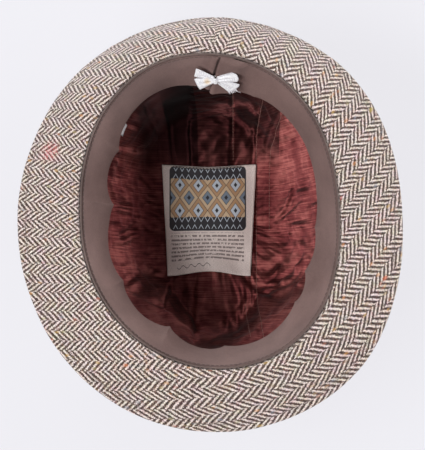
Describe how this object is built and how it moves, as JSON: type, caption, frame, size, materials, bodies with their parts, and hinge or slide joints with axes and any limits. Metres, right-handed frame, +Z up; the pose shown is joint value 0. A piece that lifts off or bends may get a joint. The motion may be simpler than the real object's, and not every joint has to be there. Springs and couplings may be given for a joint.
{
  "type": "tweed hat",
  "caption": "Soft herringbone tweed hat with a rolled brim, lying upside down: satin lining, sweatband with ribbon bow, woven label.",
  "frame": {"origin": "on the floor under the middle of the hat's outline, with the hat upside down on its crown", "axes": "+Z up out of the head opening, +Y towards the back of the hat, +X towards the wearer's right"},
  "size_m": [0.2542, 0.2782, 0.1084],
  "materials": {
    "tweed": "cream and dark brown herringbone wool tweed with coloured neps",
    "sweatband_cloth": "matte brown coated cloth",
    "piping_cloth": "matte brown cloth over a thin cord",
    "lining_satin": "burgundy ribbed satin",
    "label_cloth": null,
    "white_tape": "white ribbon"
  },
  "bodies": {
    "root": {"crown": "tweed", "brim": "tweed", "sweatband": "sweatband_cloth", "sweatband_piping": "piping_cloth", "lining": "lining_satin", "label": "label_cloth", "size_tag": "white_tape", "ribbon_knot": "white_tape", "ribbon_end_left": "white_tape", "ribbon_loop_left": "white_tape", "ribbon_loop_right": "white_tape", "ribbon_end_right": "white_tape"}
  },
  "joints": []
}
